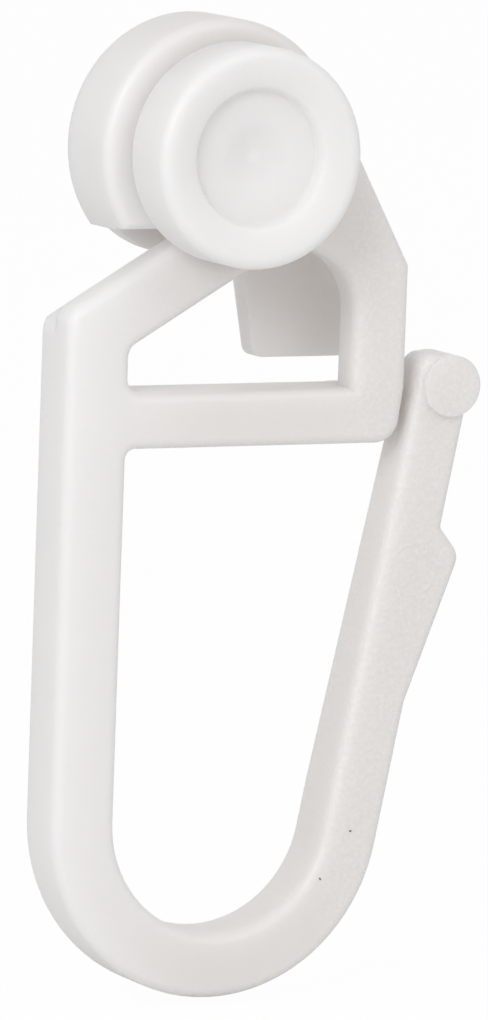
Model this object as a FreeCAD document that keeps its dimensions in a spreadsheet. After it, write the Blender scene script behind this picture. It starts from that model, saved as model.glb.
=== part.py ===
import FreeCAD, Part
import math
import os
import Sketcher

# Curtain glider with a pleat hook, moulded in one piece.
# Frame: origin at the middle of the bearing face that sits on the rail's lip, +Z up,
# +X along the rail, +Y from the front button towards the rear tongue. Millimetres.
# Heights in the sizes below are measured from the axis of the round head.

SIZES = [
    ("axis_height", 3.75, "head axis above the bearing face"),
    ("drum_radius", 6.05, "flange and saddle"),
    ("keeper_radius", 5.25, "rear disc"),
    ("channel_width", 2.5, "gap for the rail's lip, between the web and the tongue"),
    ("runner_proud", 0.15, "bearing face below the flat in front of it"),
    ("tongue_thickness", 1.2, "rear cheek"),
    ("tongue_width", 5.95, "tongue at its lower edge"),
    ("tongue_lean", 10.3, "lean of the tongue's left side in degrees"),
    ("tongue_drop", 10.1, "axis down to the tongue's lower edge"),
    ("tongue_corner", 0.5, "rounding of the tongue's lower corners"),
    ("tongue_root", 1.0, "fillet between the rear disc and the tongue"),
    ("button_radius", 5.1, "front button"),
    ("button_thickness", 3.4, "front button"),
    ("button_edge", 0.5, "rounding of the button's rim"),
    ("button_groove", 0.6, "width and depth of the groove behind the button"),
    ("rim_land", 0.05, "flat between the rounded rim and the bevel into the dish"),
    ("rim_slope", 0.3, "fall of the bevel towards the dish"),
    ("dish_radius", 3.25, "recess in the button"),
    ("dish_depth", 0.5, "recess in the button"),
    ("dish_round", 0.2, "rounding of the recess at its edge and its floor"),
    ("dish_draft", 0.2, "draft of the recess wall"),
    ("dimple_radius", 1.7, "hollow in the middle of the recess"),
    ("dimple_depth", 0.3, "hollow in the middle of the recess"),
    ("frame_thickness", 3.2, "hook, arm and crossbar"),
    ("arm_reach", 7.55, "axis to the outer side of the arm"),
    ("arm_width", 3.15, "arm at the left"),
    ("arm_split", 20.0, "axis down to where the frame meets the hook"),
    ("hook_depth", 31.1, "axis down to the centre of the hook's bend"),
    ("hook_radius", 5.45, "inside of the hook's bend"),
    ("hook_wall", 3.0, "wall at the bottom of the hook"),
    ("crossbar_drop", 11.15, "axis down to the top of the crossbar"),
    ("crossbar_height", 2.6, "crossbar"),
    ("mouth_gap", 0.57, "between the neck's right side and the finger, at the crossbar's top"),
    ("crossbar_end", 1.2, "rounding of the crossbar's lower right corner"),
    ("crossbar_inset", 0.35, "crossbar's end inside the neck's right side"),
    ("strut_rise", 30.5, "slope of the strut in degrees"),
    ("strut_width", 3.05, "strut"),
    ("strut_meet", 1.09, "axis to where the strut's upper side meets the flat, leftwards"),
    ("shoulder_radius", 1.0, "rounding where the strut meets the arm"),
    ("neck_width", 2.8, "neck"),
    ("web_thickness", 1.6, "neck and strut, thinner than the frame below them"),
    ("web_start", 1.1, "outer side of the arm to the start of the thin web"),
    ("web_lead", 0.4, "cut for the thin web beyond the drum and the arm"),
    ("shoulder_step", 0.65, "rear half of the shoulder below the strut's upper side"),
    ("neck_bend", 5.45, "axis down to the bend of the neck's right side"),
    ("window_top", 3.0, "rounding at the top of the window"),
    ("window_corner", 0.7, "rounding of the window's left corners"),
    ("inside_corner", 0.5, "rounding between arm and crossbar"),
    ("finger_lean", 10.8, "lean of the finger in degrees"),
    ("finger_tip_thickness", 2.2, "finger at its tip"),
    ("taper_lead", 2.2, "from the end of the bend to where the finger begins to thin"),
    ("taper_gap", 0.1, "start of the thinning cuts, clear of the finger's inside"),
    ("knob_proud", 0.25, "knob beyond each face of the finger"),
    ("knob_radius", 1.44, "round end of the finger"),
    ("knob_inset", 1.2, "middle of the knob inside the finger's outer side"),
    ("knob_drop", 11.1, "axis down to the middle of the knob"),
    ("barb_top", 17.8, "axis down to the notch over the barb"),
    ("barb_crest", 1.3, "notch down to the point of the barb"),
    ("barb_ramp", 6.9, "point of the barb down to its foot"),
    ("barb_height", 1.3, "how far the barb stands out"),
    ("barb_round", 0.9, "rounding of the barb's point"),
    ("notch_round", 0.35, "rounding of the notch over the barb"),
    ("tip_round", 0.8, "rounding of the finger's inner end"),
    ("edge_round", 0.5, "moulded edges of the frame"),
]

doc = FreeCAD.newDocument("CurtainGlider")
sheet = doc.addObject("Spreadsheet::Sheet", "Sizes")
for row, (alias, number, note) in enumerate(SIZES, start=1):
    sheet.set("A%d" % row, note)
    sheet.set("B%d" % row, str(number))
    sheet.setAlias("B%d" % row, alias)
doc.recompute()


class Size:
    """A length worked out from the sheet: its number and the expression that gives it."""

    def __init__(self, number, text):
        self.number = number
        self.text = text

    def joined(self, sign, other, number):
        return Size(number, "(%s %s %s)" % (self.text, sign, as_size(other).text))

    def __add__(self, other):
        return self.joined("+", other, self.number + as_size(other).number)

    def __sub__(self, other):
        return self.joined("-", other, self.number - as_size(other).number)

    def __mul__(self, other):
        return self.joined("*", other, self.number * as_size(other).number)

    def __truediv__(self, other):
        return self.joined("/", other, self.number / as_size(other).number)

    def __neg__(self):
        return Size(-self.number, "(0 - %s)" % self.text)


def as_size(value):
    return value if isinstance(value, Size) else Size(float(value), repr(float(value)))


def cell(alias):
    return Size(float(sheet.get(alias)), "Sizes.%s" % alias)


def sine(angle):
    return Size(math.sin(math.radians(angle.number)), "sin(%s * 1deg)" % angle.text)


def cosine(angle):
    return Size(math.cos(math.radians(angle.number)), "cos(%s * 1deg)" % angle.text)


def tangent(angle):
    return Size(math.tan(math.radians(angle.number)), "tan(%s * 1deg)" % angle.text)


def square_root(value):
    return Size(math.sqrt(value.number), "sqrt(%s)" % value.text)


def arc_cosine(value):
    return Size(math.degrees(math.acos(value.number)), "(acos(%s) / 1deg)" % value.text)


def arc_tangent(value):
    return Size(math.degrees(math.atan(value.number)), "(atan(%s) / 1deg)" % value.text)


# Depths along Y

half_channel = cell("channel_width") / 2
web_back = -half_channel
frame_front = web_back - cell("web_thickness")
frame_back = frame_front + cell("frame_thickness")
button_back = frame_front - cell("button_groove")
button_front = button_back - cell("button_thickness")
dish_floor = button_front + cell("rim_slope") + cell("dish_depth")
tongue_back = half_channel + cell("tongue_thickness")
finger_taper = cell("frame_thickness") - cell("finger_tip_thickness")

# Places in the front view, from the head's axis

arm_outside = -cell("arm_reach")
arm_inside = cell("arm_width") - cell("arm_reach")
bend_x = arm_inside + cell("hook_radius")
bend_y = -cell("hook_depth")
outer_radius = cell("hook_radius") + cell("hook_wall")
outer_x = arm_outside + outer_radius
lean = cell("finger_lean")
crossbar_top = -cell("crossbar_drop")
crossbar_bottom = crossbar_top - cell("crossbar_height")
inside_x = bend_x + cell("hook_radius") / cosine(lean)
neck_outside = inside_x + (crossbar_top - bend_y) * tangent(lean) - cell("mouth_gap")
neck_inside = neck_outside - cell("neck_width")
tongue_left = neck_outside - cell("tongue_width")
tongue_slope = tangent(cell("tongue_lean"))
neck_bend = -cell("neck_bend")
strut_slope = tangent(cell("strut_rise"))
strut_drop = cell("strut_width") / cosine(cell("strut_rise"))
flat_y = -cell("axis_height")
front_flat = flat_y + cell("runner_proud")
neck_reach = square_root(neck_outside * neck_outside + neck_bend * neck_bend)
tongue_low = -cell("tongue_drop")
side_turn = cosine(cell("tongue_lean"))
side_away = (tongue_left + tongue_low * tongue_slope) * side_turn
side_along = square_root(cell("keeper_radius") * cell("keeper_radius") - side_away * side_away)
tongue_root = (
    side_away * side_turn + side_along * sine(cell("tongue_lean")),
    side_away * sine(cell("tongue_lean")) - side_along * side_turn,
)


def neck_tangent(radius):
    """Point where a line from the neck's bend touches a circle about the axis."""
    turn = arc_tangent(neck_bend / neck_outside) + arc_cosine(radius / neck_reach)
    return (radius * cosine(turn), radius * sine(turn))


def strut_top(x):
    """Height of the strut's upper side, which runs into the flat under the head below the axis."""
    return front_flat + (x + cell("strut_meet")) * strut_slope


def strut_bottom(x):
    """Height of the strut's lower side, which is the upper side of the window."""
    return strut_top(x) - strut_drop


def finger_inside(y):
    """Place of the finger's inner side at a height: a line tangent to the inside of the bend."""
    return inside_x + (y - bend_y) * tangent(lean)


def finger_outside(y):
    """Place of the finger's outer side at a height: a line tangent to the outside of the bend."""
    return outer_x + outer_radius / cosine(lean) + (y - bend_y) * tangent(lean)


body = doc.addObject("PartDesign::Body", "glider")
body.Label = "glider"
body.AllowCompound = True


def origin_plane(role):
    return next(part for part in body.Origin.OriginFeatures if part.Role == role)


def new_sketch(name, role, offset):
    """A sketch whose own origin lies on the head's axis, moved off its plane by an offset."""
    sketch = body.newObject("Sketcher::SketchObject", name)
    sketch.AttachmentSupport = (origin_plane(role), [""])
    sketch.MapMode = "FlatFace"
    base = FreeCAD.Vector(0, cell("axis_height").number, offset.number)
    sketch.AttachmentOffset = FreeCAD.Placement(base, FreeCAD.Rotation())
    sketch.setExpression("AttachmentOffset.Base.y", cell("axis_height").text)
    sketch.setExpression("AttachmentOffset.Base.z", offset.text)
    return sketch


def vector(x, y):
    return FreeCAD.Vector(x.number, y.number, 0)


def pin_point(sketch, geometry, end, x, y):
    """Ties a point of the sketch to the sheet by its distance across and up from the axis."""
    for kind, value in (("DistanceX", x), ("DistanceY", y)):
        if abs(value.number) < 1e-9:
            other = -2 if kind == "DistanceX" else -1
            sketch.addConstraint(Sketcher.Constraint("PointOnObject", geometry, end, other))
            continue
        ends = (-1, 1, geometry, end) if value.number > 0 else (geometry, end, -1, 1)
        shown = value if value.number > 0 else -value
        index = sketch.addConstraint(Sketcher.Constraint(kind, *ends, shown.number))
        sketch.setExpression("Constraints[%d]" % index, shown.text)


def add_polygon(sketch, corners):
    """Closed outline of straight sides, with every corner tied to the sheet."""
    sides = []
    for index, corner in enumerate(corners):
        following = corners[(index + 1) % len(corners)]
        sides.append(sketch.addGeometry(Part.LineSegment(vector(*corner), vector(*following)), False))
    for index, side in enumerate(sides):
        following = sides[(index + 1) % len(sides)]
        sketch.addConstraint(Sketcher.Constraint("Coincident", side, 2, following, 1))
    for side, corner in zip(sides, corners):
        pin_point(sketch, side, 1, *corner)


def set_radius(sketch, geometry, radius):
    index = sketch.addConstraint(Sketcher.Constraint("Radius", geometry, radius.number))
    sketch.setExpression("Constraints[%d]" % index, radius.text)


def pad(name, sketch, length):
    """Extrudes a sketch of the front view towards the front."""
    feature = body.newObject("PartDesign::Pad", name)
    feature.Profile = sketch
    feature.Length = length.number
    feature.setExpression("Length", length.text)
    return settle(feature)


def picked_edges(name, picked):
    names = []
    for index, edge in enumerate(body.Tip.Shape.Edges, start=1):
        if picked(edge):
            names.append("Edge%d" % index)
    if not names:
        raise RuntimeError("no edge found for " + name)
    return (body.Tip, names)


def settle(feature):
    """Recomputes and stops if the feature came out without a sound solid."""
    doc.recompute()
    if "Invalid" in feature.State or "Error" in feature.State or not feature.Shape.isValid():
        raise RuntimeError(feature.Name + " could not be made")
    return feature


def fillet(name, radius, picked):
    """Rounds the edges of the solid so far that a test picks."""
    edges = picked_edges(name, picked)
    feature = body.newObject("PartDesign::Fillet", name)
    feature.Base = edges
    feature.Radius = radius.number
    feature.setExpression("Radius", radius.text)
    return settle(feature)


def chamfer(name, size, picked):
    """Bevels the edges of the solid so far that a test picks."""
    edges = picked_edges(name, picked)
    feature = body.newObject("PartDesign::Chamfer", name)
    feature.Base = edges
    feature.Size = size.number
    feature.setExpression("Size", size.text)
    return settle(feature)


def upright_at(*places):
    """Test for straight edges along Y that stand at given places of the front view."""
    marks = []
    for x, y in places:
        marks.append((x.number, y.number + cell("axis_height").number))

    def test(edge):
        low = edge.Vertexes[0].Point
        high = edge.Vertexes[-1].Point
        if abs(low.x - high.x) > 1e-6 or abs(low.z - high.z) > 1e-6:
            return False
        return any(math.hypot(low.x - x, low.z - z) < 1e-3 for x, z in marks)

    return test


def pocket(name, sketch, length, forwards):
    """Cuts a sketch into the solid, away from the way it would be extruded unless told forwards."""
    feature = body.newObject("PartDesign::Pocket", name)
    feature.Profile = sketch
    feature.Length = length.number
    feature.setExpression("Length", length.text)
    feature.Reversed = forwards
    before = feature.BaseFeature.Shape.Volume
    settle(feature)
    if feature.Shape.Volume > before - 1e-6:
        raise RuntimeError(name + " cut nothing")
    return feature


def new_finger_sketch(name):
    """A sketch on the plane just inside the finger's inner face, with its height along the finger."""
    away = bend_x * cosine(lean) - bend_y * sine(lean) + cell("hook_radius") - cell("taper_gap")
    up = cell("axis_height") - away * sine(lean)
    across = away * cosine(lean)
    sketch = body.newObject("Sketcher::SketchObject", name)
    sketch.AttachmentSupport = (origin_plane("YZ_Plane"), [""])
    sketch.MapMode = "FlatFace"
    base = FreeCAD.Vector(0, up.number, across.number)
    turn = FreeCAD.Rotation(FreeCAD.Vector(1, 0, 0), lean.number)
    sketch.AttachmentOffset = FreeCAD.Placement(base, turn)
    sketch.setExpression("AttachmentOffset.Base.y", up.text)
    sketch.setExpression("AttachmentOffset.Base.z", across.text)
    return sketch


def add_disc(sketch, x, y, radius):
    ring = sketch.addGeometry(Part.Circle(vector(x, y), FreeCAD.Vector(0, 0, 1), radius.number), False)
    pin_point(sketch, ring, 3, x, y)
    set_radius(sketch, ring, radius)


def add_arc(sketch, x, y, radius, first, last):
    circle = Part.Circle(vector(x, y), FreeCAD.Vector(0, 0, 1), radius.number)
    arc = sketch.addGeometry(Part.ArcOfCircle(circle, math.radians(first), math.radians(last)), False)
    pin_point(sketch, arc, 3, x, y)
    set_radius(sketch, arc, radius)
    return arc


def add_line(sketch, start, end):
    return sketch.addGeometry(Part.LineSegment(vector(*start), vector(*end)), False)


def add_flat_disc(sketch, level):
    """A circle about the axis with its lower part cut off flat at a level."""
    radius = cell("drum_radius")
    half = square_root(radius * radius - level * level)
    dip = math.degrees(math.asin(-level.number / radius.number))
    arc = add_arc(sketch, as_size(0), as_size(0), radius, -dip, 180 + dip)
    chord = add_line(sketch, (-half, level), (half, level))
    sketch.addConstraint(Sketcher.Constraint("Coincident", arc, 2, chord, 1))
    sketch.addConstraint(Sketcher.Constraint("Coincident", chord, 2, arc, 1))
    sketch.addConstraint(Sketcher.Constraint("Horizontal", chord))
    drop = -level
    index = sketch.addConstraint(Sketcher.Constraint("DistanceY", chord, 1, -1, 1, drop.number))
    sketch.setExpression("Constraints[%d]" % index, drop.text)


def add_hook(sketch, corners):
    """The hook's outline: arm, bend and finger, with the finger's corners given from its inside."""
    split = -cell("arm_split")
    inner = add_arc(sketch, bend_x, bend_y, cell("hook_radius"), 180, 360 - lean.number)
    outer = add_arc(sketch, outer_x, bend_y, outer_radius, 180, 360 - lean.number)
    inner_end = (bend_x + cell("hook_radius") * cosine(lean), bend_y - cell("hook_radius") * sine(lean))
    outer_end = (outer_x + outer_radius * cosine(lean), bend_y - outer_radius * sine(lean))
    arm_in = add_line(sketch, (arm_inside, split), (arm_inside, bend_y))
    sides = [add_line(sketch, inner_end, corners[0])]
    for start, end in zip(corners[:-1], corners[1:]):
        sides.append(add_line(sketch, start, end))
    sides.append(add_line(sketch, corners[-1], outer_end))
    arm_out = add_line(sketch, (arm_outside, bend_y), (arm_outside, split))
    top = add_line(sketch, (arm_outside, split), (arm_inside, split))
    joints = list(zip(sides[:-1], sides[1:])) + [(arm_out, top), (top, arm_in)]
    for first, second in joints:
        sketch.addConstraint(Sketcher.Constraint("Coincident", first, 2, second, 1))
    for side, corner in zip(sides[:-1], corners):
        pin_point(sketch, side, 2, *corner)
    pin_point(sketch, arm_in, 1, arm_inside, split)
    pin_point(sketch, arm_out, 2, arm_outside, split)
    sketch.addConstraint(Sketcher.Constraint("Tangent", arm_in, 2, inner, 1))
    sketch.addConstraint(Sketcher.Constraint("Tangent", inner, 2, sides[0], 1))
    sketch.addConstraint(Sketcher.Constraint("Tangent", sides[-1], 2, outer, 2))
    sketch.addConstraint(Sketcher.Constraint("Tangent", outer, 1, arm_out, 1))


def add_button(sketch, corners):
    """Half section of the button: straight sides, with a round hollow as the last one but one."""
    sides = []
    hollow = len(corners) - 2
    radius = cell("dimple_radius")
    depth = cell("dimple_depth")
    ball = (radius * radius + depth * depth) / (depth * 2)
    for index, corner in enumerate(corners):
        following = corners[(index + 1) % len(corners)]
        if index == hollow:
            centre = following[0] - ball
            circle = Part.Circle(vector(centre, as_size(0)), FreeCAD.Vector(0, 0, 1), ball.number)
            swing = math.asin(radius.number / ball.number)
            sides.append(sketch.addGeometry(Part.ArcOfCircle(circle, 0, swing), False))
        else:
            sides.append(add_line(sketch, corner, following))
    for index, side in enumerate(sides):
        following = (index + 1) % len(sides)
        leaving = 1 if index == hollow else 2
        meeting = 2 if following == hollow else 1
        sketch.addConstraint(Sketcher.Constraint("Coincident", side, leaving, sides[following], meeting))
    for index, corner in enumerate(corners):
        pin_point(sketch, sides[index], 2 if index == hollow else 1, *corner)
    set_radius(sketch, sides[hollow], ball)


def outline_edge(side):
    """Test for the edges between the frame's front (-1) or rear (1) face and its sides."""
    shape = body.Tip.Shape

    def test(edge):
        flat = []
        for face in shape.ancestorsOfType(edge, Part.Face):
            low_u, high_u, low_v, high_v = face.ParameterRange
            normal = face.normalAt((low_u + high_u) / 2, (low_v + high_v) / 2)
            flat.append(normal.y * side > 0.9)
        return len(flat) == 2 and flat[0] != flat[1]

    return test


def ring_at(depth, radius):
    """Test for the round edge of the button at a given depth and radius."""

    def test(edge):
        box = edge.BoundBox
        level = box.YLength < 1e-3 and abs(box.Center.y - depth.number) < 1e-3
        return level and abs(box.ZLength / 2 - radius.number) < 1e-3

    return test


# Upper frame: arm, strut, neck, crossbar and the head's flange around an open window

shoulder = (arm_outside, strut_top(arm_outside))
neck_corner = (neck_outside, neck_bend)
bar_corner = (neck_outside - cell("crossbar_inset"), crossbar_bottom)
bar_shoulder = (neck_outside, crossbar_top)
inside_corner = (arm_inside, crossbar_bottom)

frame_sketch = new_sketch("FrameOutline", "XZ_Plane", -frame_back)
add_polygon(frame_sketch, [
    (arm_outside, -cell("arm_split")),
    shoulder,
    (-cell("strut_meet"), front_flat),
    neck_tangent(cell("drum_radius")),
    neck_corner,
    bar_shoulder,
    bar_corner,
    inside_corner,
    (arm_inside, -cell("arm_split")),
])
pad("Frame", frame_sketch, cell("frame_thickness"))

flange_sketch = new_sketch("FlangeOutline", "XZ_Plane", -frame_back)
add_flat_disc(flange_sketch, front_flat)
pad("Flange", flange_sketch, cell("frame_thickness"))

window_sketch = new_sketch("WindowOutline", "XZ_Plane", -frame_front)
window_low_left = (arm_inside, crossbar_top)
window_low_right = (neck_inside, crossbar_top)
window_high_right = (neck_inside, strut_bottom(neck_inside))
window_high_left = (arm_inside, strut_bottom(arm_inside))
add_polygon(window_sketch, [window_low_left, window_low_right, window_high_right, window_high_left])
pocket("Window", window_sketch, cell("frame_thickness"), False)

# Hook: the arm runs down into a round bend and up again as a leaning finger with a barb

finger_top = cell("knob_radius") - cell("knob_drop")
knob_x = finger_outside(-cell("knob_drop")) - cell("knob_inset")
barb_tip = -cell("barb_top") - cell("barb_crest")
barb_low = barb_tip - cell("barb_ramp")
barb_foot = (finger_outside(barb_low), barb_low)
barb_point = (finger_outside(barb_tip) + cell("barb_height"), barb_tip)
barb_notch = (finger_outside(-cell("barb_top")), -cell("barb_top"))
tip_inside = (finger_inside(finger_top), finger_top)

hook_sketch = new_sketch("HookOutline", "XZ_Plane", -frame_back)
add_hook(hook_sketch, [
    tip_inside,
    (knob_x, finger_top),
    (finger_outside(-cell("knob_drop")), -cell("knob_drop")),
    barb_notch,
    barb_point,
    barb_foot,
])
pad("Hook", hook_sketch, cell("frame_thickness"))

fillet("ShoulderRound", cell("shoulder_radius"), upright_at(shoulder))
fillet("BarRound", cell("crossbar_end"), upright_at(bar_corner))
fillet("NeckRound", cell("window_top"), upright_at(window_high_right))
fillet("WindowRound", cell("window_corner"), upright_at(window_low_left, window_high_left))
fillet("InsideRound", cell("inside_corner"), upright_at(inside_corner))
fillet("BarbRound", cell("barb_round"), upright_at(barb_point))
fillet("NotchRound", cell("notch_round"), upright_at(barb_notch))
fillet("TipRound", cell("tip_round"), upright_at(tip_inside))

# The finger thins towards its tip, from the rear

taper_sketch = new_finger_sketch("TaperOutline")
taper_from = bend_x * sine(lean) + bend_y * cosine(lean) + cell("taper_lead")
taper_to = finger_inside(finger_top) * sine(lean) + finger_top * cosine(lean) + cell("knob_radius")
behind = frame_back + cell("frame_thickness")
add_polygon(taper_sketch, [
    (frame_back, taper_from),
    (frame_back - finger_taper, taper_to),
    (behind, taper_to),
    (behind, taper_from),
])
pocket("Taper", taper_sketch, outer_radius, True)

fillet("FrontEdges", cell("edge_round"), outline_edge(-1))
chamfer("RearEdges", cell("edge_round") / 2, outline_edge(1))

# Neck and strut are a thin web: the frame is cut back behind them, which opens the channel

web_left = arm_outside + cell("web_start")
web_top = cell("drum_radius") + cell("web_lead")
web_right = neck_outside + cell("mouth_gap") / 2
beyond_arm = arm_outside - cell("web_lead")
rear_shoulder = (arm_outside, strut_top(arm_outside) - cell("shoulder_step"))
relief_sketch = new_sketch("WebReliefOutline", "XZ_Plane", -frame_back)
add_polygon(relief_sketch, [
    (web_left, strut_bottom(arm_inside)),
    (arm_inside, strut_bottom(arm_inside)),
    (arm_inside, crossbar_top),
    (web_right, crossbar_top),
    (web_right, web_top),
    (beyond_arm, web_top),
    (beyond_arm, strut_top(beyond_arm) - cell("shoulder_step")),
    (web_left, strut_top(web_left) - cell("shoulder_step")),
])
pocket("WebRelief", relief_sketch, cell("frame_thickness") - cell("web_thickness"), True)
fillet("ShoulderRear", cell("shoulder_radius"), upright_at(rear_shoulder))

# Head: a round saddle with a flat underside, closed at the rear by a disc with a tongue

keeper_sketch = new_sketch("KeeperOutline", "XZ_Plane", -tongue_back)
add_disc(keeper_sketch, as_size(0), as_size(0), cell("keeper_radius"))
pad("Keeper", keeper_sketch, cell("tongue_thickness"))

tongue_sketch = new_sketch("TongueOutline", "XZ_Plane", -tongue_back)
tongue_corners = [(tongue_left, tongue_low), (neck_outside, tongue_low)]
add_polygon(tongue_sketch, [
    (tongue_left + tongue_low * tongue_slope, as_size(0)),
    tongue_corners[0],
    tongue_corners[1],
    neck_corner,
    neck_tangent(cell("keeper_radius")),
])
pad("Tongue", tongue_sketch, cell("tongue_thickness"))
fillet("TongueRound", cell("tongue_corner"), upright_at(*tongue_corners))
fillet("TongueRoot", cell("tongue_root"), upright_at(tongue_root))

saddle_sketch = new_sketch("SaddleOutline", "XZ_Plane", -half_channel)
add_flat_disc(saddle_sketch, flat_y)
pad("Saddle", saddle_sketch, cell("channel_width"))

# Knob at the end of the finger

knob_length = cell("finger_tip_thickness") + cell("knob_proud") * 2
knob_sketch = new_sketch("KnobOutline", "XZ_Plane", -(frame_front - cell("knob_proud") + knob_length))
add_disc(knob_sketch, knob_x, -cell("knob_drop"), cell("knob_radius"))
pad("Knob", knob_sketch, knob_length)

# Front button, turned about the head's axis: grooved neck, rounded rim, dish and dimple

button_sketch = new_sketch("ButtonProfile", "YZ_Plane", as_size(0))
rim_radius = cell("button_radius") - cell("button_edge")
add_button(button_sketch, [
    (web_back, as_size(0)),
    (web_back, cell("button_radius") - cell("button_groove")),
    (button_back, cell("button_radius") - cell("button_groove")),
    (button_back, cell("button_radius")),
    (button_front, cell("button_radius")),
    (button_front, rim_radius - cell("rim_land")),
    (button_front + cell("rim_slope"), cell("dish_radius")),
    (dish_floor, cell("dish_radius") - cell("dish_draft")),
    (dish_floor, cell("dimple_radius")),
    (dish_floor + cell("dimple_depth"), as_size(0)),
])
button = body.newObject("PartDesign::Revolution", "Button")
button.Profile = button_sketch
button.ReferenceAxis = (button_sketch, ["H_Axis"])
button.Angle = 360
settle(button)
fillet("ButtonRim", cell("button_edge"), ring_at(button_front, cell("button_radius")))
fillet("ButtonBack", cell("button_edge") / 2, ring_at(button_back, cell("button_radius")))
fillet("DishEdge", cell("dish_round"), ring_at(button_front + cell("rim_slope"), cell("dish_radius")))
fillet("DishFloor", cell("dish_round"), ring_at(dish_floor, cell("dish_radius") - cell("dish_draft")))

doc.recompute()
for feature in doc.Objects:
    if "Invalid" in feature.State or "Error" in feature.State:
        raise RuntimeError(feature.Name + " is in error")
    if hasattr(feature, "Shape") and feature.isDerivedFrom("PartDesign::Feature"):
        if feature.Shape.isNull() or not feature.Shape.isValid():
            raise RuntimeError(feature.Name + " has no sound shape")
if len(body.Shape.Solids) != 1:
    raise RuntimeError("the glider is not one solid")

os.makedirs("parts", exist_ok=True)
body.Shape.exportStep("parts/glider.step")
print(round(body.Shape.Volume, 2), body.Shape.BoundBox)
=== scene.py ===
import math

import bmesh
import bpy
from mathutils import Matrix, Vector


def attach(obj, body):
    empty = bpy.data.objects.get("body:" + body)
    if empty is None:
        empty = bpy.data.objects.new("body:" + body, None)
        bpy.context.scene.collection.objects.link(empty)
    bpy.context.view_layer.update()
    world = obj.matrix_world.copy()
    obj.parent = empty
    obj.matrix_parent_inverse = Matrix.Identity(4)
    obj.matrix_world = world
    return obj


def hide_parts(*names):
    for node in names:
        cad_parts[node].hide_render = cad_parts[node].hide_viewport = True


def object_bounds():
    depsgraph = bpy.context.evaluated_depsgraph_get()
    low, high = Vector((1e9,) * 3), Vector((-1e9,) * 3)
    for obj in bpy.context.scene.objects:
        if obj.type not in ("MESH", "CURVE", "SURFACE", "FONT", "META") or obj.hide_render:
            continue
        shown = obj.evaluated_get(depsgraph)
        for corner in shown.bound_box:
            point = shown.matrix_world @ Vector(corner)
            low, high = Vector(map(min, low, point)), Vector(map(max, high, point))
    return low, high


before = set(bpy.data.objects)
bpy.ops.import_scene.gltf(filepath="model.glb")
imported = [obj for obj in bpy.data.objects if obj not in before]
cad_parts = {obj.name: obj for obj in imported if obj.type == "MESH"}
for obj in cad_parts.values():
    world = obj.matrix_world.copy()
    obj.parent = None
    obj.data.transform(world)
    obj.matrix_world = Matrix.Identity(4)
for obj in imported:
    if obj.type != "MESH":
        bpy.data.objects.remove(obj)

bl_info = {
    "name": "Curtain Glider",
    "version": (1, 0, 0),
    "blender": (4, 5, 0),
    "location": "View3D > Sidebar > Glider",
    "description": "Dresses a moulded curtain glider and sets its studio",
    "category": "Object",
}

CAD_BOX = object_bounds()
BODY = "root"
MM = 0.001

# Places on the moulding, in millimetres in the frame of the part.
# The head's axis runs along Y at this height over the bearing face.
HEAD_AXIS_Z = 3.75
BUTTON_FACE_Y = -6.85
FRAME_FRONT_Y = -2.85
# Flecks on the front of the hook
FLECKS = (
    (7.74, FRAME_FRONT_Y, HEAD_AXIS_Z - 31.95),
    (6.25, FRAME_FRONT_Y, HEAD_AXIS_Z - 34.15),
)
# Middle of the ejector's ring on the front of the finger
EJECTOR_PLACE = (10.5, FRAME_FRONT_Y, HEAD_AXIS_Z - 19.75)
# Along X: from the thick arm to the thin runs, over which the painted shade sets in, and from the smooth
# skin to the rougher one
SHADE_X = (-7.0, 0.5)
ROUGH_X = (5.5, 7.5)
# Along Y: from the button to the frame behind it, over which the painted shade sets in, and from inside the
# frame to its front
BEHIND_BUTTON_Y = (FRAME_FRONT_Y - 0.6, FRAME_FRONT_Y - 0.3)
FRONT_SKIN_Y = (FRAME_FRONT_Y + 0.4, FRAME_FRONT_Y)

# Skin of the plastic: bump strength where it is smooth and where it is rough, depths in millimetres,
# and the heights of the grain between which its tops get a painted highlight, a paler colour
PEBBLE_STRENGTH = (0.2, 0.85)
PEBBLE_DEPTH_MM = 0.05
PEBBLE_GLINT = (0.35, 0.85)
RING_STRENGTH = 0.5
RING_DEPTH_MM = 0.03
RING_EDGE_MM = 0.12
# Red light travels a little further in the plastic than blue
SCATTER_TINT = (1.0, 0.92, 0.88)
PLASTIC_IOR = 1.5

# Corners of the solid's triangles that lie this close are one, and steeper edges stay sharp
WELD_MM = 0.0005
SHARP_ANGLE = math.radians(24)

# A fleck's length, thickness and width as shares of its length, and its turn against the one before
FLECK_SHAPE = (1.0, 0.2, 0.6)
FLECK_TURN = math.radians(55)

# Stage: lamps by name, place, size in metres and power in watts
LAMPS = (
    ("key", (-0.36, -0.32, 0.22), 0.26, 0.92),
    ("fill", (0.14, -0.40, 0.34), 0.30, 0.38),
)
LAMP_AIM_MM = (2.0, -3.0, -13.0)
# Soft light from all round, and the share of pure white that the camera sees in the floor
WORLD_LIGHT = 0.565
FLOOR_GLOW = 0.97
FLOOR_GAP_MM = 0.4
FLOOR_HALF_SIDE = 3.0
# The picture's width and height and the place of the button's middle in it, in pixels
PICTURE = (488, 1020)
BUTTON_PIXEL = (264.2, 159.2)
SENSOR_HEIGHT = 24.0


def linear(hex_colour):
    """sRGB hex to the linear RGBA that shader sockets take."""
    parts = [int(hex_colour[i:i + 2], 16) / 255 for i in (1, 3, 5)]
    straight = []
    for value in parts:
        straight.append(value / 12.92 if value <= 0.04045 else ((value + 0.055) / 1.055) ** 2.4)
    return (*straight, 1.0)


def metres(place_mm):
    """A place in millimetres as a tuple in metres."""
    return tuple(value * MM for value in place_mm)


def add_node(tree, kind, inputs=None, **settings):
    """Adds a node, sets its properties, and sets or links its inputs."""
    node = tree.nodes.new(kind)
    for name, value in settings.items():
        setattr(node, name, value)
    for key, value in (inputs or {}).items():
        if isinstance(value, bpy.types.NodeSocket):
            tree.links.new(value, node.inputs[key])
        else:
            node.inputs[key].default_value = value
    return node


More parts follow.
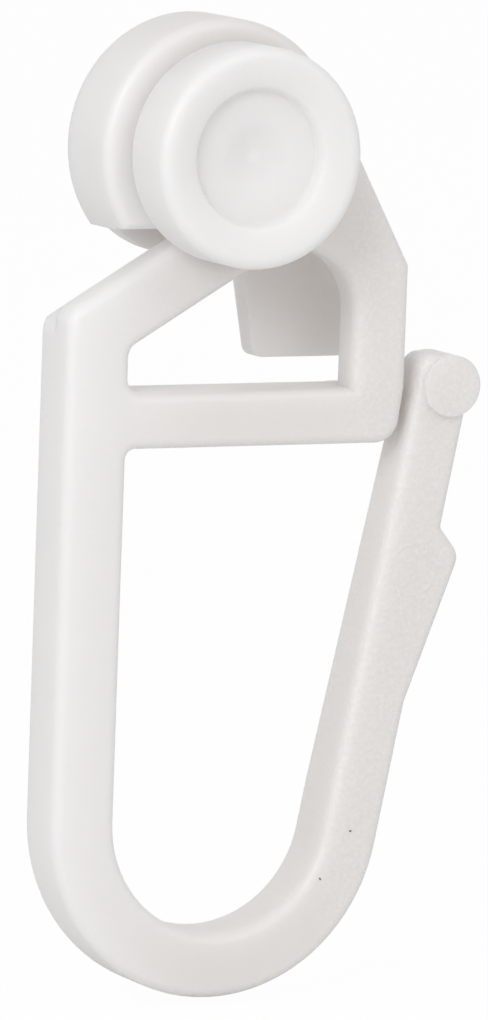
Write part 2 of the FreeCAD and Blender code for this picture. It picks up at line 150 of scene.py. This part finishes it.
def ramp(tree, value, low, high):
    """Soft step from 0 to 1 between two values."""
    step = add_node(tree, "ShaderNodeMapRange", {"Value": value, "From Min": low, "From Max": high},
                    interpolation_type="SMOOTHSTEP")
    return step.outputs["Result"]


def math_node(tree, operation, first, second):
    """Result of a math node on two values or sockets."""
    return add_node(tree, "ShaderNodeMath", {0: first, 1: second}, operation=operation).outputs[0]


def mixed_colour(tree, share, first, second):
    """Colour between two colours or sockets."""
    mix = add_node(tree, "ShaderNodeMix", {"Factor": share, "A": first, "B": second}, data_type="RGBA")
    return mix.outputs["Result"]


def new_material(name):
    """A material with its node tree and its main shader."""
    material = bpy.data.materials.new(name)
    material.use_nodes = True
    tree = material.node_tree
    return material, tree, tree.nodes["Principled BSDF"]


class GliderFinish(bpy.types.PropertyGroup):
    """Colour and surface of the moulded plastic."""

    plastic_hex: bpy.props.StringProperty(
        name="Plastic", description="Colour of the milky plastic, sRGB hex", default="#f1f0f0")
    cloud_hex: bpy.props.StringProperty(
        name="Cloud", description="Colour of the denser clouds in it, sRGB hex", default="#edecec")
    cloud_mm: bpy.props.FloatProperty(
        name="Cloud size", description="Breadth of a cloud, mm", default=4.0, min=0.1)
    # Painted shade: a greyer colour laid towards the right and behind the button, where the light falls off;
    # partly the thinner plastic's own tone
    thin_shade_hex: bpy.props.StringProperty(
        name="Thin", description="Colour where thin runs let light through, sRGB hex", default="#e7e4e2")
    # Painted highlight: a paler colour laid on the tops of the pebble, where they catch the light
    glint_hex: bpy.props.StringProperty(
        name="Frost", description="Colour on the tops of the pebble, sRGB hex", default="#edebe9")
    roughness: bpy.props.FloatProperty(
        name="Roughness", description="Of the satin mould surface", default=0.42, min=0.0, max=1.0)
    scatter_mm: bpy.props.FloatProperty(
        name="Scatter", description="How far light travels in the plastic, mm", default=1.9, min=0.0)
    scatter_share: bpy.props.FloatProperty(
        name="Scatter share", description="Share of the light that travels in the plastic", default=0.8,
        min=0.0, max=1.0)
    pebble_mm: bpy.props.FloatProperty(
        name="Pebble", description="Size of the spark-eroded grain, mm", default=0.22, min=0.01)


class GliderMarks(bpy.types.PropertyGroup):
    """Small traces that moulding leaves on the part."""

    fleck_hex: bpy.props.StringProperty(
        name="Fleck", description="Colour of the burnt flecks in the plastic, sRGB hex", default="#5a4a44")
    singed_hex: bpy.props.StringProperty(
        name="Singed", description="Colour of their paler spots, sRGB hex", default="#8a7a72")
    fleck_mm: bpy.props.FloatProperty(
        name="Fleck size", description="Half length of a fleck, mm", default=0.075, min=0.01)
    ring_mm: bpy.props.FloatProperty(
        name="Ejector ring", description="Radius of the ejector's mark on the finger, mm", default=1.2)


class GliderStage(bpy.types.PropertyGroup):
    """Place and view of the camera."""

    azimuth: bpy.props.FloatProperty(
        name="Azimuth", description="Camera to the left of the front", default=math.radians(26.5),
        subtype="ANGLE", unit="ROTATION")
    elevation: bpy.props.FloatProperty(
        name="Elevation", description="Camera above the level", default=math.radians(7.6),
        subtype="ANGLE", unit="ROTATION")
    roll: bpy.props.FloatProperty(
        name="Roll", description="Camera turned about its own axis", default=math.radians(2.05),
        subtype="ANGLE", unit="ROTATION")
    distance: bpy.props.FloatProperty(
        name="Distance", description="Camera to the button", default=0.40, subtype="DISTANCE", unit="LENGTH")
    view_height: bpy.props.FloatProperty(
        name="View height", description="Height of the picture at the button", default=0.0463,
        subtype="DISTANCE", unit="LENGTH")


# Materials

def moulded_plastic(finish, ring_mm):
    """Unfilled nylon or acetal, injection moulded.

    The eye sees a milky white that lets a little light through, so edges glow and hollows stay pale,
    a satin skin from the mould, faint clouds, and a fine pebble where the mould was spark eroded.
    Painted shade makes it greyer towards the right and behind the button, and a painted highlight makes the
    pebble's tops paler.
    """
    material, tree, shader = new_material("milky_moulded_plastic")
    place = add_node(tree, "ShaderNodeTexCoord").outputs["Object"]
    along = add_node(tree, "ShaderNodeSeparateXYZ", {"Vector": place}).outputs

    def between(axis, span_mm):
        return ramp(tree, along[axis], span_mm[0] * MM, span_mm[1] * MM)

    clouds = add_node(tree, "ShaderNodeTexNoise", {
        "Vector": place, "Scale": 1 / (finish.cloud_mm * MM), "Detail": 3.0, "Roughness": 0.55})
    milky = mixed_colour(
        tree, clouds.outputs["Fac"], linear(finish.plastic_hex), linear(finish.cloud_hex))

    # Painted shade: crossbar, neck and finger are thin and are painted greyer than the thick head and the
    # arm, darker towards the right and behind the button, where the light from the upper left falls off;
    # partly the thinner plastic's own tone
    thin = math_node(tree, "MULTIPLY", between("X", SHADE_X), between("Y", BEHIND_BUTTON_Y))
    shaded_colour = mixed_colour(tree, thin, milky, linear(finish.thin_shade_hex))

    # Pebble of the mould, stronger on the neck and the finger; its tops get a painted highlight, a paler
    # colour where they catch the light
    grain = add_node(tree, "ShaderNodeTexNoise", {
        "Vector": place, "Scale": 1 / (finish.pebble_mm * MM), "Detail": 2.0, "Roughness": 0.5})
    height = grain.outputs["Fac"]
    rough_side = between("X", ROUGH_X)
    rough_front = math_node(tree, "MULTIPLY", rough_side, between("Y", FRONT_SKIN_Y))
    tops = math_node(tree, "MULTIPLY", ramp(tree, height, *PEBBLE_GLINT), rough_front)
    glinted = mixed_colour(tree, tops, shaded_colour, linear(finish.glint_hex))
    strength = add_node(tree, "ShaderNodeMapRange", {
        "Value": rough_side, "To Min": PEBBLE_STRENGTH[0], "To Max": PEBBLE_STRENGTH[1]})
    pebble = add_node(tree, "ShaderNodeBump", {
        "Height": height, "Strength": strength.outputs["Result"], "Distance": PEBBLE_DEPTH_MM * MM})

    # Faint raised ring that the ejector left on the finger
    away = add_node(tree, "ShaderNodeVectorMath", {0: place, 1: metres(EJECTOR_PLACE)}, operation="DISTANCE")
    radius = away.outputs["Value"]
    inner = ramp(tree, radius, (ring_mm - RING_EDGE_MM) * MM, ring_mm * MM)
    outer = ramp(tree, radius, (ring_mm + RING_EDGE_MM) * MM, ring_mm * MM)
    ring = add_node(tree, "ShaderNodeBump", {
        "Height": math_node(tree, "MULTIPLY", inner, outer), "Strength": RING_STRENGTH,
        "Distance": RING_DEPTH_MM * MM, "Normal": pebble.outputs["Normal"]})

    tree.links.new(glinted, shader.inputs["Base Color"])
    tree.links.new(ring.outputs["Normal"], shader.inputs["Normal"])
    shader.inputs["Roughness"].default_value = finish.roughness
    shader.inputs["IOR"].default_value = PLASTIC_IOR
    shader.inputs["Subsurface Weight"].default_value = finish.scatter_share
    shader.inputs["Subsurface Radius"].default_value = SCATTER_TINT
    shader.inputs["Subsurface Scale"].default_value = finish.scatter_mm * MM
    return material


def burnt_fleck(marks):
    """Plastic that scorched in the barrel: a dull brown speck, uneven in tone."""
    material, tree, shader = new_material("burnt_fleck")
    place = add_node(tree, "ShaderNodeTexCoord").outputs["Object"]
    # The tone changes over 0.05 mm
    tone = add_node(tree, "ShaderNodeTexNoise", {"Vector": place, "Scale": 1 / (0.05 * MM), "Detail": 1.0})
    colour = mixed_colour(tree, tone.outputs["Fac"], linear(marks.fleck_hex), linear(marks.singed_hex))
    tree.links.new(colour, shader.inputs["Base Color"])
    shader.inputs["Roughness"].default_value = 0.55
    return material


def plastic():
    """The one material of the moulding, made on first use."""
    found = bpy.data.materials.get("milky_moulded_plastic")
    scene = bpy.context.scene
    return found or moulded_plastic(scene.glider_finish, scene.glider_marks.ring_mm)


# Pieces

def add_piece(name, mesh):
    """Puts a mesh into the scene as an object."""
    piece = bpy.data.objects.new(name, mesh)
    bpy.context.scene.collection.objects.link(piece)
    return piece


def finished_mesh(name, shape):
    """Turns a bmesh into a mesh and frees it."""
    mesh = bpy.data.meshes.new(name)
    shape.to_mesh(mesh)
    shape.free()
    return mesh


class GLIDER_OT_moulding(bpy.types.Operator):
    """Smooth-shaded moulding made from the solid"""

    bl_idname = "glider.moulding"
    bl_label = "Moulding"

    def execute(self, context):
        shape = bmesh.new()
        shape.from_mesh(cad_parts["glider"].data)
        bmesh.ops.remove_doubles(shape, verts=shape.verts, dist=WELD_MM * MM)
        for face in shape.faces:
            face.smooth = True
        for edge in shape.edges:
            edge.smooth = len(edge.link_faces) == 2 and edge.calc_face_angle() < SHARP_ANGLE
        piece = add_piece("glider_moulding", finished_mesh("glider_moulding", shape))
        piece.data.materials.append(plastic())
        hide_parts("glider")
        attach(piece, BODY)
        return {"FINISHED"}


def fleck_tree():
    """Geometry nodes that set a flat fleck on every point, each turned a little further."""
    tree = bpy.data.node_groups.new("flecks", "GeometryNodeTree")
    sides = tree.interface
    sides.new_socket("Geometry", in_out="OUTPUT", socket_type="NodeSocketGeometry")
    sides.new_socket("Geometry", in_out="INPUT", socket_type="NodeSocketGeometry")
    sides.new_socket("Half length", in_out="INPUT", socket_type="NodeSocketFloat")
    sides.new_socket("Turn", in_out="INPUT", socket_type="NodeSocketFloat")
    sides.new_socket("Burnt", in_out="INPUT", socket_type="NodeSocketMaterial")
    given = add_node(tree, "NodeGroupInput").outputs
    ball = add_node(tree, "GeometryNodeMeshIcoSphere", {"Radius": given["Half length"], "Subdivisions": 2})
    flat = add_node(tree, "GeometryNodeTransform", {
        "Geometry": ball.outputs["Mesh"], "Scale": FLECK_SHAPE})
    number = add_node(tree, "GeometryNodeInputIndex").outputs["Index"]
    turn = add_node(tree, "ShaderNodeCombineXYZ", {"Y": math_node(tree, "MULTIPLY", number, given["Turn"])})
    set_down = add_node(tree, "GeometryNodeInstanceOnPoints", {
        "Points": given["Geometry"], "Instance": flat.outputs["Geometry"], "Rotation": turn.outputs[0]})
    real = add_node(tree, "GeometryNodeRealizeInstances", {"Geometry": set_down.outputs["Instances"]})
    smooth = add_node(tree, "GeometryNodeSetShadeSmooth", {"Geometry": real.outputs["Geometry"]})
    dressed = add_node(tree, "GeometryNodeSetMaterial", {
        "Geometry": smooth.outputs["Geometry"], "Material": given["Burnt"]})
    add_node(tree, "NodeGroupOutput", {"Geometry": dressed.outputs["Geometry"]})
    return tree


def grown(name, points, tree, values):
    """Runs a geometry node tree over points and returns its result as a plain mesh object."""
    start = bpy.data.meshes.new(name + "_points")
    start.from_pydata(points, [], [])
    seed = add_piece(name + "_points", start)
    modifier = seed.modifiers.new("nodes", "NODES")
    modifier.node_group = tree
    for item in tree.interface.items_tree:
        if item.in_out == "INPUT" and item.name in values:
            modifier[item.identifier] = values[item.name]
    view = bpy.context.evaluated_depsgraph_get()
    mesh = bpy.data.meshes.new_from_object(seed.evaluated_get(view), depsgraph=view)
    bpy.data.objects.remove(seed)
    mesh.name = name
    return add_piece(name, mesh)


class GLIDER_OT_flecks(bpy.types.Operator):
    """Small burnt flecks that lie in the skin of the plastic"""

    bl_idname = "glider.flecks"
    bl_label = "Flecks"

    def execute(self, context):
        marks = context.scene.glider_marks
        points = [metres(place) for place in FLECKS]
        piece = grown("flecks", points, fleck_tree(), {
            "Half length": marks.fleck_mm * MM,
            "Turn": FLECK_TURN,
            "Burnt": burnt_fleck(marks),
        })
        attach(piece, BODY)
        return {"FINISHED"}


# Stage

class GLIDER_OT_stage(bpy.types.Operator):
    """Pale floor, soft light and the camera"""

    bl_idname = "glider.stage"
    bl_label = "Stage"

    def execute(self, context):
        scene = context.scene
        scene.view_settings.view_transform = "Standard"
        self.add_floor()
        self.add_world(scene)
        self.add_lamps(scene)
        self.add_camera(scene, scene.glider_stage)
        return {"FINISHED"}

    def add_floor(self):
        """White paper under the hook that keeps a faint shadow."""
        low = CAD_BOX[0][2] - FLOOR_GAP_MM * MM
        shape = bmesh.new()
        bmesh.ops.create_grid(shape, x_segments=1, y_segments=1, size=FLOOR_HALF_SIDE)
        bmesh.ops.translate(shape, verts=shape.verts, vec=(0.0, 0.0, low))
        floor = add_piece("floor", finished_mesh("floor", shape))
        material = bpy.data.materials.new("white_paper")
        material.use_nodes = True
        tree = material.node_tree
        tree.nodes.clear()
        matt = add_node(tree, "ShaderNodeBsdfDiffuse", {"Color": linear("#f4f4f4")})
        bright = add_node(tree, "ShaderNodeEmission", {"Color": (1, 1, 1, 1), "Strength": 1.0})
        path = add_node(tree, "ShaderNodeLightPath").outputs
        seen = math_node(tree, "MULTIPLY", path["Is Camera Ray"], FLOOR_GLOW)
        mixed = add_node(tree, "ShaderNodeMixShader", {0: seen, 1: matt.outputs[0], 2: bright.outputs[0]})
        add_node(tree, "ShaderNodeOutputMaterial", {"Surface": mixed.outputs[0]})
        floor.data.materials.append(material)

    def add_world(self, scene):
        """White where the camera, a reflection or a see-through ray looks, soft light for the rest."""
        world = bpy.data.worlds.new("studio")
        world.use_nodes = True
        tree = world.node_tree
        tree.nodes.clear()
        path = add_node(tree, "ShaderNodeLightPath").outputs
        mirrored = math_node(tree, "MAXIMUM", path["Is Glossy Ray"], path["Is Transmission Ray"])
        shown = math_node(tree, "MAXIMUM", path["Is Camera Ray"], mirrored)
        soft = add_node(tree, "ShaderNodeBackground", {
            "Color": (1.0, 0.995, 0.99, 1), "Strength": WORLD_LIGHT})
        white = add_node(tree, "ShaderNodeBackground", {"Color": (1, 1, 1, 1), "Strength": 1.0})
        mixed = add_node(tree, "ShaderNodeMixShader", {0: shown, 1: soft.outputs[0], 2: white.outputs[0]})
        add_node(tree, "ShaderNodeOutputWorld", {"Surface": mixed.outputs[0]})
        scene.world = world

    def add_lamps(self, scene):
        """Round soft lamps, all turned to the middle of the part."""
        aim = Vector(LAMP_AIM_MM) * MM
        for name, place, size, power in LAMPS:
            lamp = bpy.data.lights.new(name, "AREA")
            lamp.shape = "DISK"
            lamp.size = size
            lamp.energy = power
            holder = bpy.data.objects.new(name, lamp)
            holder.location = place
            holder.rotation_euler = (aim - Vector(place)).to_track_quat("-Z", "Y").to_euler()
            scene.collection.objects.link(holder)

    def add_camera(self, scene, stage):
        """Aims by the button's middle, which lies at a known place of the picture."""
        turn = Matrix.Rotation(-stage.azimuth, 3, "Z")
        turn = turn @ Matrix.Rotation(math.radians(90) - stage.elevation, 3, "X")
        turn = turn @ Matrix.Rotation(stage.roll, 3, "Z")
        right, up, back = (turn @ Vector(axis) for axis in ((1, 0, 0), (0, 1, 0), (0, 0, 1)))
        width, height = PICTURE
        pixel = stage.view_height / height
        button = Vector((0.0, BUTTON_FACE_Y, HEAD_AXIS_Z)) * MM
        aim = button - right * (BUTTON_PIXEL[0] - width / 2) * pixel
        aim = aim + up * (BUTTON_PIXEL[1] - height / 2) * pixel
        camera = bpy.data.cameras.new("camera")
        camera.sensor_fit = "VERTICAL"
        camera.sensor_height = SENSOR_HEIGHT
        camera.lens = SENSOR_HEIGHT * stage.distance / stage.view_height
        camera.clip_start = 0.01
        holder = bpy.data.objects.new("camera", camera)
        holder.matrix_world = Matrix.Translation(aim + back * stage.distance) @ turn.to_4x4()
        scene.collection.objects.link(holder)
        scene.camera = holder


class GLIDER_PT_panel(bpy.types.Panel):
    """Steps and settings of the glider"""

    bl_label = "Curtain Glider"
    bl_idname = "GLIDER_PT_panel"
    bl_space_type = "VIEW_3D"
    bl_region_type = "UI"
    bl_category = "Glider"

    def draw(self, context):
        for group in (context.scene.glider_finish, context.scene.glider_marks, context.scene.glider_stage):
            box = self.layout.box()
            for name in group.__annotations__:
                box.prop(group, name)
        for step in STEPS:
            self.layout.operator(step.bl_idname)


GROUPS = (GliderFinish, GliderMarks, GliderStage)
STEPS = (GLIDER_OT_moulding, GLIDER_OT_flecks, GLIDER_OT_stage)


def register():
    for kind in (*GROUPS, *STEPS, GLIDER_PT_panel):
        bpy.utils.register_class(kind)
    bpy.types.Scene.glider_finish = bpy.props.PointerProperty(type=GliderFinish)
    bpy.types.Scene.glider_marks = bpy.props.PointerProperty(type=GliderMarks)
    bpy.types.Scene.glider_stage = bpy.props.PointerProperty(type=GliderStage)


def unregister():
    del bpy.types.Scene.glider_stage
    del bpy.types.Scene.glider_marks
    del bpy.types.Scene.glider_finish
    for kind in reversed((*GROUPS, *STEPS, GLIDER_PT_panel)):
        bpy.utils.unregister_class(kind)


def main():
    register()
    bpy.ops.glider.moulding()
    bpy.ops.glider.flecks()
    bpy.ops.glider.stage()


if __name__ == "__main__":
    main()
